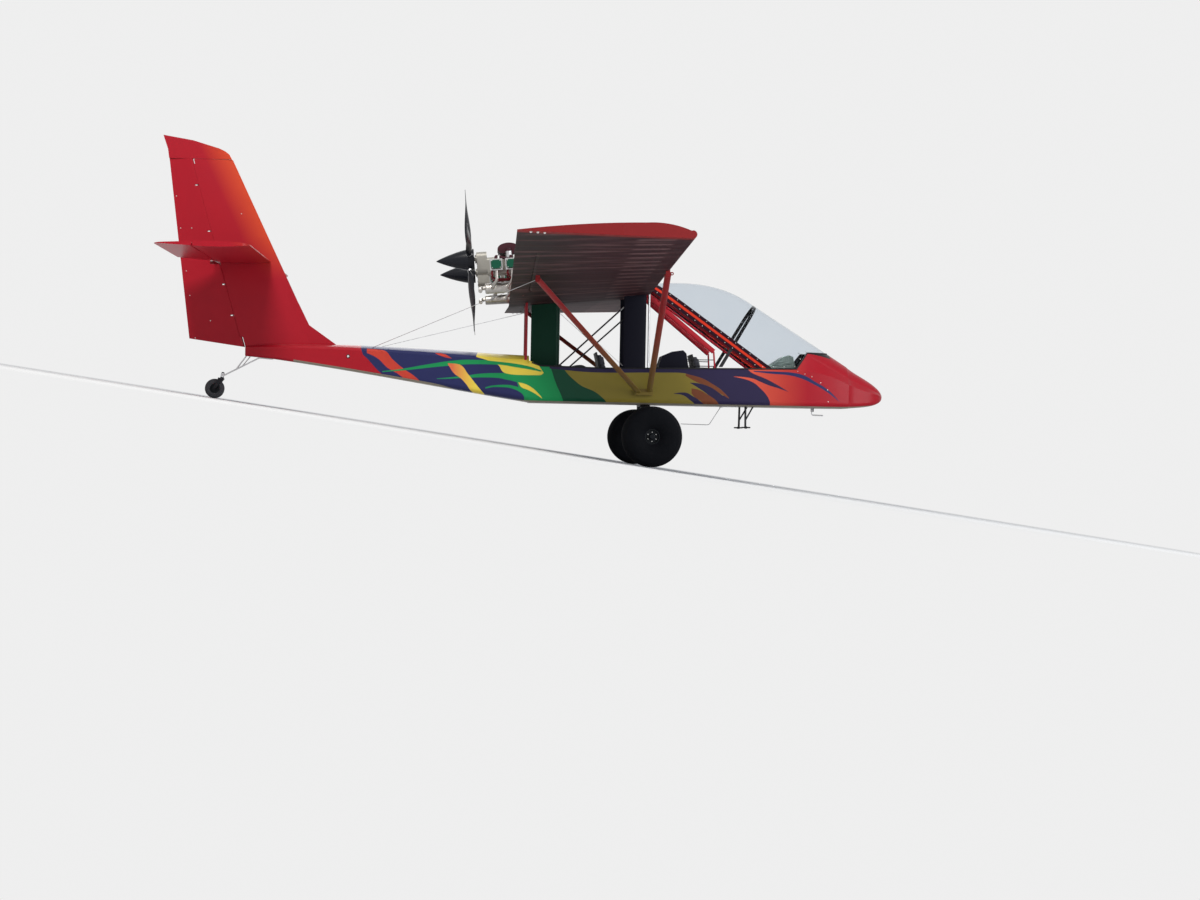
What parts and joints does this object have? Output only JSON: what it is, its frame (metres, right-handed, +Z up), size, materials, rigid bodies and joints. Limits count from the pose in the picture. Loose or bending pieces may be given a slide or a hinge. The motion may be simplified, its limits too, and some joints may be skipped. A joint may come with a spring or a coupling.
{
  "type": "homebuilt light aircraft",
  "caption": "Twin-pusher homebuilt light aircraft with open tandem cockpit, high strutted wing, blown windshield, open engines and tailwheel gear on balloon tyres.",
  "frame": {"origin": "on the ground under the middle of the aircraft's outline, as it stands parked on its three wheels", "axes": "+X towards the nose, +Y to the aircraft's left, +Z up; the level flight line of the fuselage is nose up by 7.9 degrees in this frame"},
  "size_m": [8.5972, 11.1, 2.8612],
  "materials": {
    "olive_yellow_paint": "gloss",
    "orange_red_paint": "gloss",
    "red_tail_paint": "gloss",
    "navy_boom_paint": "gloss",
    "maroon_wing_paint": "gloss",
    "red_tube_paint": "gloss",
    "blended_strut_paint": "gloss",
    "green_paint": "gloss",
    "dark_blue_paint": "satin",
    "grey_green_paint": "satin",
    "clear_glazing": "clear gloss",
    "black_tyre": "matt",
    "solid_tail_rubber": "matt",
    "wheel_alloy": "satin",
    "dark_steel": "satin",
    "silver_steel": "satin",
    "cast_case": "cast",
    "bare_cylinder_alloy": "cast",
    "rocker_green": "gloss",
    "airbox_dark": "satin",
    "exhaust_steel": "heat tinted",
    "black_blade": "gloss",
    "seat_shell_black": "satin",
    "seat_fabric": "woven",
    "bag_fabric": "woven"
  },
  "bodies": {
    "airframe": {"baggage_bag": "bag_fabric", "belly_probes": "silver_steel", "boarding_steps": "dark_steel", "cabane_fairing_left": "dark_blue_paint", "cabane_fairing_right": "dark_blue_paint", "cabane_tubes": "silver_steel", "cockpit_controls": "dark_steel", "cockpit_tub": "olive_yellow_paint", "engine_block_left": "cast_case", "engine_block_right": "cast_case", "engine_cylinders_left": "bare_cylinder_alloy", "engine_cylinders_right": "bare_cylinder_alloy", "engine_exhaust_left": "exhaust_steel", "engine_exhaust_right": "exhaust_steel", "engine_intake_left": "airbox_dark", "engine_intake_right": "airbox_dark", "engine_mount_left": "red_tube_paint", "engine_mount_right": "red_tube_paint", "fin": "red_tail_paint", "front_seat": "seat_shell_black", "front_seat_pads": "seat_fabric", "instrument_pod": "grey_green_paint", "lift_struts_left": "blended_strut_paint", "lift_struts_right": "blended_strut_paint", "main_gear": "dark_steel", "nose_cone": "orange_red_paint", "oil_cooler_left": "wheel_alloy", "oil_cooler_right": "wheel_alloy", "rear_pod": "dark_blue_paint", "rear_pylon": "green_paint", "rear_seat": "seat_shell_black", "rear_seat_pads": "seat_fabric", "rocker_covers_left": "rocker_green", "rocker_covers_right": "rocker_green", "stabiliser": "red_tail_paint", "tail_boom": "navy_boom_paint", "tail_spring": "dark_steel", "tail_stays": "silver_steel", "windshield": "clear_glazing", "windshield_frame": "red_tube_paint", "windshield_hoop": "dark_steel", "wing_centre": "maroon_wing_paint", "wing_left": "maroon_wing_paint", "wing_right": "maroon_wing_paint"},
    "main_wheel_left": {"main_left_tyre": "black_tyre", "main_left_hub": "wheel_alloy"},
    "propeller_unit_left": {"propeller_left": "black_blade", "spinner_left": "black_blade"},
    "aileron_left": {"aileron_left": "maroon_wing_paint"},
    "main_wheel_right": {"main_right_tyre": "black_tyre", "main_right_hub": "wheel_alloy"},
    "propeller_unit_right": {"propeller_right": "black_blade", "spinner_right": "black_blade"},
    "aileron_right": {"aileron_right": "maroon_wing_paint"},
    "tail_fork": {"tail_fork": "silver_steel"},
    "tail_wheel": {"tail_tyre": "solid_tail_rubber", "tail_hub": "silver_steel"},
    "rudder": {"rudder": "red_tail_paint"},
    "elevator": {"elevator": "red_tail_paint"}
  },
  "joints": [
    {"name": "main_wheel_left_spin", "type": "hinge", "parent": "airframe", "child": "main_wheel_left", "pos_m": [1.62121, 1.21, 0.333], "axis": [0, 1, 0], "continuous": true},
    {"name": "main_wheel_right_spin", "type": "hinge", "parent": "airframe", "child": "main_wheel_right", "pos_m": [1.62121, -1.21, 0.333], "axis": [0, 1, 0], "continuous": true},
    {"name": "tail_fork_swivel", "type": "hinge", "parent": "airframe", "child": "tail_fork", "pos_m": [-3.22423, 0, 0.25613], "axis": [0, 0, 1], "range_deg": [-35, 35]},
    {"name": "tail_wheel_spin", "type": "hinge", "parent": "tail_fork", "child": "tail_wheel", "pos_m": [-3.28788, 0, 0.111], "axis": [0, 1, 0], "continuous": true},
    {"name": "propeller_left_spin", "type": "hinge", "parent": "airframe", "child": "propeller_unit_left", "pos_m": [-0.64219, 0.88, 1.94716], "axis": [0.9755, 0, 0.2199], "continuous": true},
    {"name": "propeller_right_spin", "type": "hinge", "parent": "airframe", "child": "propeller_unit_right", "pos_m": [-0.64219, -0.88, 1.94716], "axis": [0.9755, 0, 0.2199], "continuous": true},
    {"name": "rudder_turn", "type": "hinge", "parent": "airframe", "child": "rudder", "pos_m": [-3.0891, 0, 0.70093], "axis": [-0.4063, 0, 0.9138], "range_deg": [-25, 25]},
    {"name": "elevator_turn", "type": "hinge", "parent": "airframe", "child": "elevator", "pos_m": [-3.49457, 0, 1.54924], "axis": [0, 1, 0], "range_deg": [-20, 25]},
    {"name": "aileron_left_turn", "type": "hinge", "parent": "airframe", "child": "aileron_left", "pos_m": [0.03649, 2.76, 1.76535], "axis": [-0.0064, 0.9989, 0.046], "range_deg": [-20, 20]},
    {"name": "aileron_right_turn", "type": "hinge", "parent": "airframe", "child": "aileron_right", "pos_m": [0.03649, -2.76, 1.76535], "axis": [0.0064, 0.9989, -0.046], "range_deg": [-20, 20]}
  ],
  "couplings": [
    {"joint": "aileron_right_turn", "follows": "aileron_left_turn", "ratio": -1}
  ]
}
